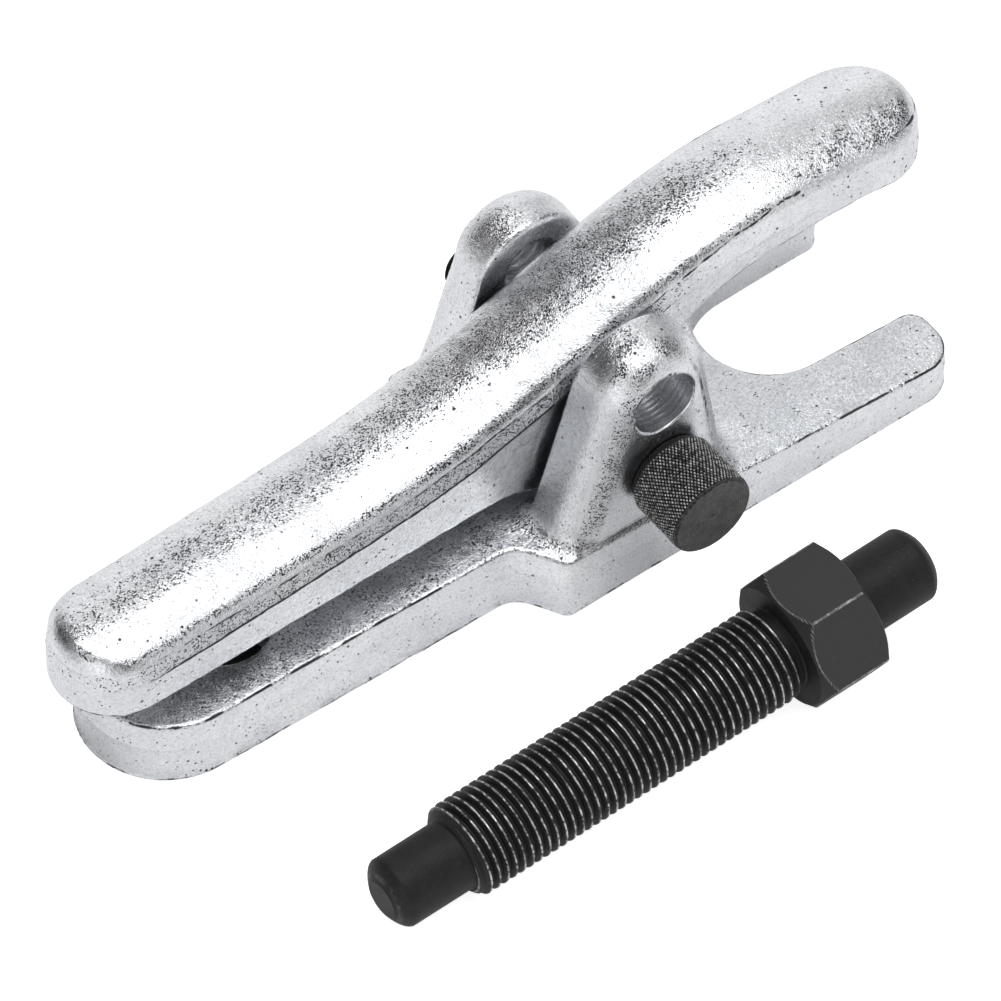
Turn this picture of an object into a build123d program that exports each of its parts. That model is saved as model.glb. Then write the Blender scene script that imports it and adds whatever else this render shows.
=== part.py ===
from build123d import *
import math
import os

# Ball joint separator: a forged fork with two upright ears, a forged lever
# pinned between them by a pivot pin that screws into the far ear,
# and a loose forcing screw.
# Millimetres. +Z up, the fork's underside lies on Z = 0, X runs along the
# tool from the tail (-X) to the fork tips (+X), the mid-plane is Y = 0 and
# the origin is directly under the pivot axis. The near ear is on -Y.

# ---------------------------------------------------------------- fork
TAIL_END_X = -116.6        # rounded end of the tail
TAIL_HALF_END = 18.0       # half width of the tail at its round end
TAIL_HALF_STEP = 19.4      # half width of the tail where it meets the step
STEP_X0 = -29.8            # foot of the step from the tail to the wide part
STEP_X1 = -23.8            # shoulder of the step
BODY_HALF = 29.2           # half width of the ear and fork part
TIP_X = 71.0               # tips of the tines
SLOT_HALF = 14.4           # half width of the ball stud slot
SLOT_CX = 45.6             # centre of the slot's round bottom
SLOT_CUT_L = 60.0          # length of the slot cutter, open past the tips
BASE_T = 16.8              # thickness of the tail
TIP_T = 9.8                # thickness at the tips
SLOPE_X = -27.0            # where the top face starts to fall to the tips
BASE_EDGE_RADII = (1.8, 1.5, 1.2, 1.0)  # top edge rounding, wanted size first
BASE_FOOT_R = 0.8          # bottom edge rounding

# Corners of the fork's plan, on both sides: x, half width, rounding
PLAN_CORNERS = [
    (STEP_X0, TAIL_HALF_STEP, 6.0),
    (STEP_X1, BODY_HALF, 2.4),
    (TIP_X, BODY_HALF, 7.5),
    (TIP_X, SLOT_HALF, 4.0),
]

SCREW_HOLE_X = -85.7       # threaded hole in the tail
SCREW_HOLE_R = 9.0         # minor radius of the M20 x 2 thread
SCREW_HOLE_CH = 1.4        # countersink at both mouths
CUT_OVER = 1.0             # how far the countersink cutters stand out of a face

# ---------------------------------------------------------------- ears
EAR_IN = 14.5              # inner face of each ear
EAR_OUT = 28.4             # outer face of the near ear, under the pin's head
EAR_OUT_FAR = 27.6         # outer face of the far ear
EAR_TOP_R = 13.2           # round top of the ear
EAR_TOP_CZ = 46.1          # centre height of the round top
EAR_REAR_LEAN = 17.5       # lean of the tail-side edge, degrees
EAR_FRONT_LEAN = 8.0       # lean of the tip-side edge, degrees
EAR_FOOT_Z = 8.0           # foot of the ear, buried in the fork
EAR_EDGE_R = 8.0           # heavy rounding of the ear's outer edges
EAR_INNER_EDGE_R = 1.2     # rounding of the ear's inner edges
EAR_ROOT_RADII = (4.0, 3.0, 2.0)  # fillet down to the fork, wanted size first

PIN_Z = 28.2               # lower pin hole, in use
PIN_Z_HIGH = 47.4          # upper pin hole, spare height
PIN_HOLE_R = 7.0           # plain holes: near ear and lever
FAR_HOLE_R = 6.0           # M12 x 1.75 threaded holes in the far ear, major radius
EAR_DRILL_Y = 20.0         # middle of each ear's hole cutter
EAR_DRILL_L = 34.0

# ---------------------------------------------------------------- lever
LEVER_HALF = 13.0          # half width
LEVER_TAIL_X = -123.8      # rounded tail end
LEVER_NOSE_X = 79.2        # rounded nose end
LEVER_BOTTOM_Z = 22.3      # underside of the tail
LEVER_BEND_X = -27.0       # where the flat underside turns down to the fork
LEVER_BEND_R = 14.0
LEVER_SEAT_X = -13.0       # lower corner of the lever, just above the fork
LEVER_SEAT_GAP = 0.06
CROWN_ARCH_R = 24.0        # arch of the crown across the lever
CROWN_CUT_HALF = 20.0      # half width of the cutter that shapes the crown
CROWN_CUT_H = 24.0         # height of that cutter above the crown line
CROWN_EDGE_RADII = (5.5, 5.0, 4.5, 4.0, 3.0, 2.0)  # crown to sides, wanted size first
LOW_EDGE_RADII = (2.0, 1.5, 1.0)                   # lower edges, wanted size first
HUB_R = 12.9               # hub around the pin, below the pin
HUB_ANGLES = (8, -43, -94)  # start, middle and end of the hub's arc, degrees
SOCKET_R = 8.4             # thrust socket for the screw's spigot
SOCKET_DEPTH = 9.0
SOCKET_OVER = 2.0          # extra length of the socket's cutter

# Crown line on the mid-plane, from tail to nose: x, z
CROWN = [
    (-124, 39.4), (-110, 39.9), (-96, 40.5), (-80, 41.4),
    (-60, 42.6), (-47, 43.9), (-33, 46.5), (-18, 50.9),
    (-3, 56.0), (13, 61.3), (25, 63.7), (36, 64.8),
    (50, 64.2), (64, 62.7), (74, 61.1), (82, 59.4),
]
# Underside of the nose, from the hub outwards: x, z
NOSE_UNDER = [
    (14.6, 38.5), (19.0, 44.4), (26.0, 47.6), (36, 49.2),
    (48, 49.8), (60, 49.2), (70, 47.8), (82, 45.4),
]

# ---------------------------------------------------------------- pin
PIN_R = 6.93               # plain shank through the near ear and the lever
PIN_HEAD_R = 9.25          # over the knurl
PIN_HEAD_L = 15.0
PIN_HEAD_CH = 1.0          # chamfer at the free end of the head
PIN_NECK_L = 1.8           # tapered shoulder between the knurl and the ear
PIN_NECK_R = 8.0
PIN_SHOULDER_Y = 14.25     # where the shank steps down to the thread
PIN_THREAD_R = 5.95        # M12 x 1.75 major radius
PIN_END_Y = 35.2           # threaded end beyond the far ear
PIN_END_CH = 0.9
PIN_SEAT_GAP = 0.05

# ---------------------------------------------------------------- screw
SCREW_R = 9.95             # M20 x 2 major radius
NOSE_R = 7.5
NOSE_L = 17.0
NOSE_CH = 2.7              # chamfer at the nose's end: radial, then along the axis
NOSE_CH_L = 2.6
LEAD_STEP = 0.6            # step from the nose up to the thread's lead-in cone
LEAD_L = 1.6               # length of the lead-in cone
THREAD_L = 77.0
NECK_R = 8.4
NECK_L = 1.6
NECK_OVERLAP = 0.01        # the neck runs this far into the hexagon
HEX_AF = 27.0              # across flats
HEX_L = 16.0
HEX_IN_CH = 2.6            # chamfer of the hexagon, thread side
HEX_IN_CH_L = 2.4
HEX_OUT_CH = 2.4           # chamfer of the hexagon, spigot side
HEX_OUT_CH_L = 1.6
SPIGOT_R = 7.85
SPIGOT_L = 17.8
SPIGOT_CH = 2.2            # chamfer at the spigot's end: radial, then along the axis
SPIGOT_CH_L = 2.0
SPIGOT_OVERLAP = 1.0       # the spigot starts this far inside the hexagon
SCREW_NOSE_X = -97.4       # nose end of the screw lying beside the tool
SCREW_NOSE_Y = -67.4
SCREW_YAW = 0.1            # nearly parallel to the tool, degrees


# ================================================================ helpers
def top_z(x):
    """Height of the fork's top face at x."""
    if x < SLOPE_X:
        return BASE_T
    return BASE_T - (x - SLOPE_X) * (BASE_T - TIP_T) / (TIP_X - SLOPE_X)


def fillet_first(solid, radii, edges):
    """Fillet with the first radius that works; unchanged if none does."""
    for radius in radii:
        # guards against the kernel refusing a radius on these edges
        try:
            return solid.fillet(radius, edges)
        except Exception:
            pass
    return solid


def turned(points, axis):
    """Solid of revolution from a closed list of (x, y)."""
    with BuildPart() as body:
        with BuildSketch(Plane.XY):
            with BuildLine():
                Polyline(*points, close=True)
            make_face()
        revolve(axis=axis)
    return body.part


# ================================================================ fork
def fork_plan():
    """Fork outline with its slot, as a plate thicker than the fork."""
    arc_x = TAIL_END_X + TAIL_HALF_END
    with BuildPart() as plate:
        with BuildSketch(Plane.XY) as plan:
            with BuildLine():
                Polyline(
                    (arc_x, -TAIL_HALF_END),
                    (STEP_X0, -TAIL_HALF_STEP),
                    (STEP_X1, -BODY_HALF),
                    (TIP_X, -BODY_HALF),
                    (TIP_X, BODY_HALF),
                    (STEP_X1, BODY_HALF),
                    (STEP_X0, TAIL_HALF_STEP),
                    (arc_x, TAIL_HALF_END),
                )
                ThreePointArc((arc_x, TAIL_HALF_END), (TAIL_END_X, 0), (arc_x, -TAIL_HALF_END))
            make_face()
            with Locations((SLOT_CX, 0)):
                Circle(SLOT_HALF, mode=Mode.SUBTRACT)
            with Locations((SLOT_CX + SLOT_CUT_L / 2, 0)):
                Rectangle(SLOT_CUT_L, 2 * SLOT_HALF, mode=Mode.SUBTRACT)
            for x, half, radius in PLAN_CORNERS:
                corners = [v for v in plan.vertices()
                           if abs(v.X - x) < 0.6 and abs(abs(v.Y) - half) < 0.6]
                fillet(corners, radius=radius)
        extrude(amount=BASE_T + 3)
    return plate.part


def side_wedge():
    """Side profile of the fork, longer and wider than the fork."""
    x0, x1, half = -130, 90, 40
    with BuildPart() as wedge:
        with BuildSketch(Plane.XZ):
            with BuildLine():
                Polyline((x0, 0), (x1, 0), (x1, top_z(x1)), (SLOPE_X, BASE_T), (x0, BASE_T),
                         close=True)
            make_face()
        extrude(amount=-2 * half)
    return wedge.part.moved(Location((0, -half, 0)))


def is_rim(edge):
    """True for the edges around the fork's top face."""
    size = edge.bounding_box().size
    mid = edge @ 0.5
    if size.Z > 8 or size.Y > 50 or mid.Z < 5:
        return False
    on_top = abs(mid.Z - top_z(mid.X)) < 0.2 and abs(mid.Y) > 0.05
    at_tail = abs(mid.X - TAIL_END_X) < 0.2
    at_slot = abs(mid.X - (SLOT_CX - SLOT_HALF)) < 0.2
    return on_top or at_tail or at_slot


def make_slab():
    """Fork without ears or holes, edges rounded."""
    slab = fork_plan() & side_wedge()
    foot = slab.edges().filter_by(lambda e: e.bounding_box().max.Z < 0.01)
    slab = slab.fillet(BASE_FOOT_R, foot)
    return fillet_first(slab, BASE_EDGE_RADII, [e for e in slab.edges() if is_rim(e)])


def make_ear(out):
    """Ear on the -Y side: tapering plate with a round top, rounded outside."""
    rear = math.radians(EAR_REAR_LEAN)
    front = math.radians(EAR_FRONT_LEAN)
    rear_top = (-EAR_TOP_R * math.cos(rear), EAR_TOP_CZ + EAR_TOP_R * math.sin(rear))
    front_top = (EAR_TOP_R * math.cos(front), EAR_TOP_CZ + EAR_TOP_R * math.sin(front))
    rear_foot = (rear_top[0] - (rear_top[1] - EAR_FOOT_Z) * math.tan(rear), EAR_FOOT_Z)
    front_foot = (front_top[0] + (front_top[1] - EAR_FOOT_Z) * math.tan(front), EAR_FOOT_Z)
    with BuildPart() as plate:
        with BuildSketch(Plane.XZ):
            with BuildLine():
                Polyline(rear_top, rear_foot, front_foot, front_top)
                ThreePointArc(front_top, (0, EAR_TOP_CZ + EAR_TOP_R), rear_top)
            make_face()
        extrude(amount=out - EAR_IN)
    ear = plate.part.moved(Location((0, -EAR_IN, 0)))
    outer = [e for e in ear.edges()
             if e.bounding_box().max.Y < -out + 0.01 and (e @ 0.5).Z > EAR_FOOT_Z + 1]
    ear = ear.fillet(EAR_EDGE_R, outer)
    inner = [e for e in ear.edges()
             if e.bounding_box().min.Y > -EAR_IN - 0.01 and (e @ 0.5).Z > EAR_FOOT_Z + 1]
    return ear.fillet(EAR_INNER_EDGE_R, inner)


def is_ear_root(edge):
    """True for the edges across the fork where an ear's lean faces meet it."""
    mid = edge @ 0.5
    return (abs(mid.Z - top_z(mid.X)) < 0.6
            and edge.bounding_box().size.Z < 3.0
            and EAR_IN + 1.5 < abs(mid.Y) < EAR_OUT - 1.0
            and (-34 < mid.X < -20 or 14 < mid.X < 30))


def screw_hole():
    """Cutter for the tail's hole, with countersunk mouths."""
    height = SCREW_HOLE_CH + CUT_OVER
    mouth_r = SCREW_HOLE_R + height
    inset = (SCREW_HOLE_CH - CUT_OVER) / 2      # from a face to its cone's middle
    with BuildPart() as hole:
        with Locations((SCREW_HOLE_X, 0, BASE_T / 2)):
            Cylinder(SCREW_HOLE_R, BASE_T + 4)
        with Locations((SCREW_HOLE_X, 0, BASE_T - inset)):
            Cone(SCREW_HOLE_R, mouth_r, height)
        with Locations((SCREW_HOLE_X, 0, inset)):
            Cone(mouth_r, SCREW_HOLE_R, height)
    return hole.part


def ear_holes(z):
    """Cutter for a pair of pin holes: plain near ear, threaded far ear."""
    with BuildPart() as holes:
        with Locations(Location((0, -EAR_DRILL_Y, z), (90, 0, 0))):
            Cylinder(PIN_HOLE_R, EAR_DRILL_L)
        with Locations(Location((0, EAR_DRILL_Y, z), (90, 0, 0))):
            Cylinder(FAR_HOLE_R, EAR_DRILL_L)
    return holes.part


def make_fork():
    fork = make_slab() + make_ear(EAR_OUT) + make_ear(EAR_OUT_FAR).mirror(Plane.XZ)
    fork = fillet_first(fork, EAR_ROOT_RADII, [e for e in fork.edges() if is_ear_root(e)])
    fork = fork - screw_hole()
    for z in (PIN_Z, PIN_Z_HIGH):
        fork = fork - ear_holes(z)
    return fork.clean()


# ================================================================ lever
def lever_profile():
    """Side profile of the lever, wider than the lever."""
    hub_front, hub_middle, hub_rear = [
        (HUB_R * math.cos(math.radians(angle)), PIN_Z + HUB_R * math.sin(math.radians(angle)))
        for angle in HUB_ANGLES
    ]
    with BuildPart() as profile:
        with BuildSketch(Plane.XZ):
            with BuildLine():
                Spline(*CROWN)
                Line(CROWN[-1], NOSE_UNDER[-1])
                Spline(*reversed(NOSE_UNDER))
                Line(NOSE_UNDER[0], hub_front)
                ThreePointArc(hub_front, hub_middle, hub_rear)
                Polyline(
                    hub_rear,
                    (LEVER_SEAT_X, top_z(LEVER_SEAT_X) + LEVER_SEAT_GAP),
                    (LEVER_BEND_X, LEVER_BOTTOM_Z),
                    (CROWN[0][0], LEVER_BOTTOM_Z),
                    CROWN[0],
                )
            make_face()
        extrude(amount=40, both=True)
    return profile.part


def lever_plan():
    """Round-ended plan of the lever, taller than the lever."""
    with BuildPart() as plan:
        with BuildSketch(Plane.XY):
            SlotOverall(LEVER_NOSE_X - LEVER_TAIL_X, 2 * LEVER_HALF)
        extrude(amount=90)
    return plan.part.moved(Location(((LEVER_NOSE_X + LEVER_TAIL_X) / 2, 0, 0)))


def crown_cutter():
    """Cutter swept along the crown line that leaves an arch across the lever."""
    half = CROWN_CUT_HALF
    drop = CROWN_ARCH_R - math.sqrt(CROWN_ARCH_R ** 2 - half ** 2)
    with BuildLine() as path:
        line = Spline(*[(x, 0, z) for x, z in CROWN])
    start = Plane(origin=line @ 0, x_dir=(0, 1, 0), z_dir=line % 0)
    with BuildPart() as cutter:
        with BuildSketch(start):
            with BuildLine():
                Polyline((half, -drop), (half, CROWN_CUT_H), (-half, CROWN_CUT_H), (-half, -drop))
                ThreePointArc((-half, -drop), (0, 0), (half, -drop))
            make_face()
        sweep(path=path.wires()[0])
    return cutter.part


def lever_zone(mid):
    """Whether a point is on a side, in the round tail or in the round nose."""
    on_side = abs(abs(mid.Y) - LEVER_HALF) < 0.05
    at_tail = mid.X < LEVER_TAIL_X + LEVER_HALF + 0.5
    at_nose = mid.X > LEVER_NOSE_X - LEVER_HALF - 0.5
    return on_side, at_tail, at_nose


def is_bend(edge):
    """True for the edge across the underside where it turns down."""
    size = edge.bounding_box().size
    return size.X < 0.05 and size.Y > 20 and abs((edge @ 0.5).X - LEVER_BEND_X) < 0.5


def is_crown_edge(edge):
    """True for edges between the arched crown and the sides and ends."""
    size = edge.bounding_box().size
    mid = edge @ 0.5
    if size.X < 0.5 and size.Z > 6:
        return False
    on_side, at_tail, at_nose = lever_zone(mid)
    return (on_side and size.X > 120 and mid.Z > 38
            or at_tail and mid.Z > 34
            or at_nose and mid.Z > 53)


def is_low_edge(edge):
    """True for edges between the underside and the sides and ends."""
    size = edge.bounding_box().size
    mid = edge @ 0.5
    straight_across = size.Y > 25.0 and size.X < 0.1
    upright = size.Z > 12 and size.X < 1.0
    if straight_across or upright:
        return False
    on_side, at_tail, at_nose = lever_zone(mid)
    if at_tail:
        return mid.Z < 24
    if at_nose:
        return mid.Z < 51
    return on_side and (mid.X < -26 and mid.Z < 24
                        or mid.X > 20 and mid.Z < 51
                        or -27 <= mid.X <= 20 and mid.Z < 44)


def make_lever():
    lever = lever_profile() & lever_plan()
    lever = lever - crown_cutter()
    bends = [e for e in lever.edges() if is_bend(e)]
    if bends:
        lever = lever.fillet(LEVER_BEND_R, bends)
    lever = fillet_first(lever, CROWN_EDGE_RADII, [e for e in lever.edges() if is_crown_edge(e)])
    lever = fillet_first(lever, LOW_EDGE_RADII, [e for e in lever.edges() if is_low_edge(e)])
    socket_z = LEVER_BOTTOM_Z + (SOCKET_DEPTH - SOCKET_OVER) / 2
    with BuildPart() as holes:
        with Locations(Location((0, 0, PIN_Z), (90, 0, 0))):
            Cylinder(PIN_HOLE_R, 80)
        with Locations((SCREW_HOLE_X, 0, socket_z)):
            Cylinder(SOCKET_R, SOCKET_DEPTH + SOCKET_OVER)
    return lever - holes.part


# ================================================================ pin
def make_pin():
    seat_y = -EAR_OUT - PIN_SEAT_GAP
    head_y = seat_y - PIN_HEAD_L
    pin = turned([
        (0, head_y),
        (PIN_HEAD_R - PIN_HEAD_CH, head_y),
        (PIN_HEAD_R, head_y + PIN_HEAD_CH),
        (PIN_HEAD_R, seat_y - PIN_NECK_L),
        (PIN_NECK_R, seat_y),
        (PIN_R, seat_y),
        (PIN_R, PIN_SHOULDER_Y),
        (PIN_THREAD_R, PIN_SHOULDER_Y),
        (PIN_THREAD_R, PIN_END_Y - PIN_END_CH),
        (PIN_THREAD_R - PIN_END_CH, PIN_END_Y),
        (0, PIN_END_Y),
    ], Axis.Y)
    return pin.moved(Location((0, 0, PIN_Z)))


# ================================================================ screw
def make_screw():
    """Screw built along +X from its nose, then laid on the ground."""
    thread_x = NOSE_L
    lead_x = thread_x + LEAD_L
    neck_x = thread_x + THREAD_L
    hex_x = neck_x + NECK_L
    spigot_x = hex_x + HEX_L
    end_x = spigot_x + SPIGOT_L

    shank = turned([
        (0, 0),
        (0, NOSE_R - NOSE_CH),
        (NOSE_CH_L, NOSE_R),
        (thread_x, NOSE_R),
        (thread_x, NOSE_R + LEAD_STEP),
        (lead_x, SCREW_R),
        (neck_x, SCREW_R),
        (neck_x, NECK_R),
        (hex_x + NECK_OVERLAP, NECK_R),
        (hex_x + NECK_OVERLAP, 0),
    ], Axis.X)

    with BuildPart() as prism:
        with BuildSketch(Plane.YZ.offset(hex_x)):
            RegularPolygon(radius=HEX_AF / 2, side_count=6, major_radius=False, rotation=0)
        extrude(amount=HEX_L)
    corner = HEX_AF / math.sqrt(3)
    hexagon = prism.part & turned([
        (hex_x, 0),
        (hex_x, corner - HEX_IN_CH),
        (hex_x + HEX_IN_CH_L, corner),
        (spigot_x - HEX_OUT_CH_L, corner),
        (spigot_x, corner - HEX_OUT_CH),
        (spigot_x, 0),
    ], Axis.X)

    spigot = turned([
        (spigot_x - SPIGOT_OVERLAP, 0),
        (spigot_x - SPIGOT_OVERLAP, SPIGOT_R),
        (end_x - SPIGOT_CH_L, SPIGOT_R),
        (end_x, SPIGOT_R - SPIGOT_CH),
        (end_x, 0),
    ], Axis.X)
    screw = shank + hexagon + spigot

    # tilted to rest on its hexagon and on the first thread
    tilt = math.atan2(HEX_AF / 2 - SCREW_R, hex_x - lead_x)
    nose_z = SCREW_R * math.cos(tilt) - lead_x * math.sin(tilt)
    return screw.moved(Location((SCREW_NOSE_X, SCREW_NOSE_Y, nose_z))
                       * Rotation(0, 0, SCREW_YAW)
                       * Rotation(0, -math.degrees(tilt), 0))


os.makedirs("parts", exist_ok=True)
export_step(make_fork(), "parts/base_fork.step")
export_step(make_lever(), "parts/lever_arm.step")
export_step(make_pin(), "parts/pivot_pin.step")
export_step(make_screw(), "parts/force_screw.step")
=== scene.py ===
import math

import bmesh
import bpy
import numpy as np
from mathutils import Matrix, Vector


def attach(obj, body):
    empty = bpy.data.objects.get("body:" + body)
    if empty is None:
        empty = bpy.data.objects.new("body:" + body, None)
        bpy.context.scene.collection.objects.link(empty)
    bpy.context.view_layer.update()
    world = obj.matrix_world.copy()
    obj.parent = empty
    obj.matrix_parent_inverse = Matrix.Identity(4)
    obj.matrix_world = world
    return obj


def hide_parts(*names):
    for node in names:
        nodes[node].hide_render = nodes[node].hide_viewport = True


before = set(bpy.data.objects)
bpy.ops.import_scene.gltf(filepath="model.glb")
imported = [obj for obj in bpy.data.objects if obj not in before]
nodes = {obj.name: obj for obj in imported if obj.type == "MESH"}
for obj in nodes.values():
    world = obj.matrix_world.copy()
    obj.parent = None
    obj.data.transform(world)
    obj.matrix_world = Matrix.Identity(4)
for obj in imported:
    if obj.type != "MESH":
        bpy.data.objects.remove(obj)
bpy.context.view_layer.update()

MM = 0.001
scene = bpy.context.scene

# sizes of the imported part, in millimetres
PIN_Z = 28.2
PIN_Z_HIGH = 47.4
PIN_HOLE_R = 7.0
FAR_HOLE_R = 6.0
SCREW_HOLE_X = -85.7
BASE_T = 16.8
SLOPE_X = -27.0
TIP_X = 71.0
TIP_T = 9.8
LEVER_HALF = 13.0


# ---------------------------------------------------------------- noise
def value_noise(p, cell, seed):
    """Smooth noise in -1..1 at points p (n, 3) with features about one cell wide."""
    rng = np.random.RandomState(seed)
    table = rng.uniform(-1, 1, 4096).astype(np.float64)
    q = p / cell + 1000.0
    i = np.floor(q).astype(np.int64)
    f = q - i
    f = f * f * f * (f * (f * 6 - 15) + 10)
    out = np.zeros(len(p))
    for dx in (0, 1):
        for dy in (0, 1):
            for dz in (0, 1):
                h = ((i[:, 0] + dx) * 73856093) ^ ((i[:, 1] + dy) * 19349663) ^ ((i[:, 2] + dz) * 83492791)
                v = table[np.abs(h) % 4096]
                w = ((f[:, 0] if dx else 1 - f[:, 0]) * (f[:, 1] if dy else 1 - f[:, 1]) * (f[:, 2] if dz else 1 - f[:, 2]))
                out += v * w
    return out


def smooth(x, a, b):
    t = np.clip((x - a) / (b - a), 0, 1)
    return t * t * (3 - 2 * t)


# ---------------------------------------------------------------- shader helpers
class Tree:
    def __init__(self, nt):
        self.nt = nt
        nt.nodes.clear()

    def add(self, kind, **kw):
        n = self.nt.nodes.new(kind)
        for k, v in kw.items():
            setattr(n, k, v)
        return n

    def link(self, a, b):
        self.nt.links.new(a, b)

    def noise(self, vec, scale, detail=2.0, rough=0.5):
        n = self.add("ShaderNodeTexNoise")
        n.inputs["Scale"].default_value = scale
        n.inputs["Detail"].default_value = detail
        n.inputs["Roughness"].default_value = rough
        self.link(vec, n.inputs["Vector"])
        return n.outputs[0]

    def voronoi(self, vec, scale, feature="F1"):
        n = self.add("ShaderNodeTexVoronoi")
        n.feature = feature
        n.inputs["Scale"].default_value = scale
        self.link(vec, n.inputs["Vector"])
        return n

    def ramp(self, fac, stops):
        n = self.add("ShaderNodeValToRGB")
        e = n.color_ramp.elements
        while len(e) > 1:
            e.remove(e[-1])
        first = True
        for pos, col in stops:
            if not hasattr(col, "__len__"):
                col = (col, col, col)
            if first:
                e[0].position = pos
                e[0].color = (*col, 1)
                first = False
            else:
                k = e.new(pos)
                k.color = (*col, 1)
        self.link(fac, n.inputs["Fac"])
        return n.outputs["Color"]

    def math(self, op, a, b=None, clamp=False):
        n = self.add("ShaderNodeMath", operation=op, use_clamp=clamp)
        for i, v in enumerate((a, b)):
            if v is None:
                continue
            if isinstance(v, (int, float)):
                n.inputs[i].default_value = v
            else:
                self.link(v, n.inputs[i])
        return n.outputs[0]

    def mix(self, fac, a, b):
        n = self.add("ShaderNodeMix", data_type="RGBA")
        for sock, v in ((n.inputs[0], fac), (n.inputs[6], a), (n.inputs[7], b)):
            if isinstance(v, (int, float)):
                sock.default_value = v
            elif isinstance(v, tuple):
                sock.default_value = (*v, 1)
            else:
                self.link(v, sock)
        return n.outputs[2]

    def mixf(self, fac, a, b):
        n = self.add("ShaderNodeMix", data_type="FLOAT")
        for sock, v in ((n.inputs[0], fac), (n.inputs[2], a), (n.inputs[3], b)):
            if isinstance(v, (int, float)):
                sock.default_value = v
            else:
                self.link(v, sock)
        return n.outputs[0]

    def bump(self, height, distance, strength=1.0, normal=None):
        n = self.add("ShaderNodeBump")
        n.inputs["Strength"].default_value = strength
        n.inputs["Distance"].default_value = distance
        self.link(height, n.inputs["Height"])
        if normal is not None:
            self.link(normal, n.inputs["Normal"])
        return n.outputs["Normal"]

    def attr(self, name):
        n = self.add("ShaderNodeAttribute", attribute_name=name)
        return n.outputs["Fac"]


def new_material(name):
    m = bpy.data.materials.new(name)
    m.use_nodes = True
    t = Tree(m.node_tree)
    out = t.add("ShaderNodeOutputMaterial")
    b = t.add("ShaderNodeBsdfPrincipled")
    t.link(b.outputs[0], out.inputs["Surface"])
    tc = t.add("ShaderNodeTexCoord")
    t.coords = tc
    return m, t, b, tc.outputs["Object"]


def toward(az, el):
    az, el = math.radians(az), math.radians(el)
    return (math.cos(az) * math.cos(el), math.sin(az) * math.cos(el), math.sin(el))


def lobe(t, vec, direction, inner, outer):
    """1 within inner degrees of a direction, 0 beyond outer degrees."""
    dot = t.add("ShaderNodeVectorMath", operation="DOT_PRODUCT")
    t.link(vec, dot.inputs[0])
    dot.inputs[1].default_value = Vector(direction).normalized()
    mr = t.add("ShaderNodeMapRange", interpolation_type="SMOOTHSTEP")
    mr.inputs["From Min"].default_value = math.cos(math.radians(outer))
    mr.inputs["From Max"].default_value = math.cos(math.radians(inner))
    t.link(dot.outputs["Value"], mr.inputs["Value"])
    return mr.outputs["Result"]


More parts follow.
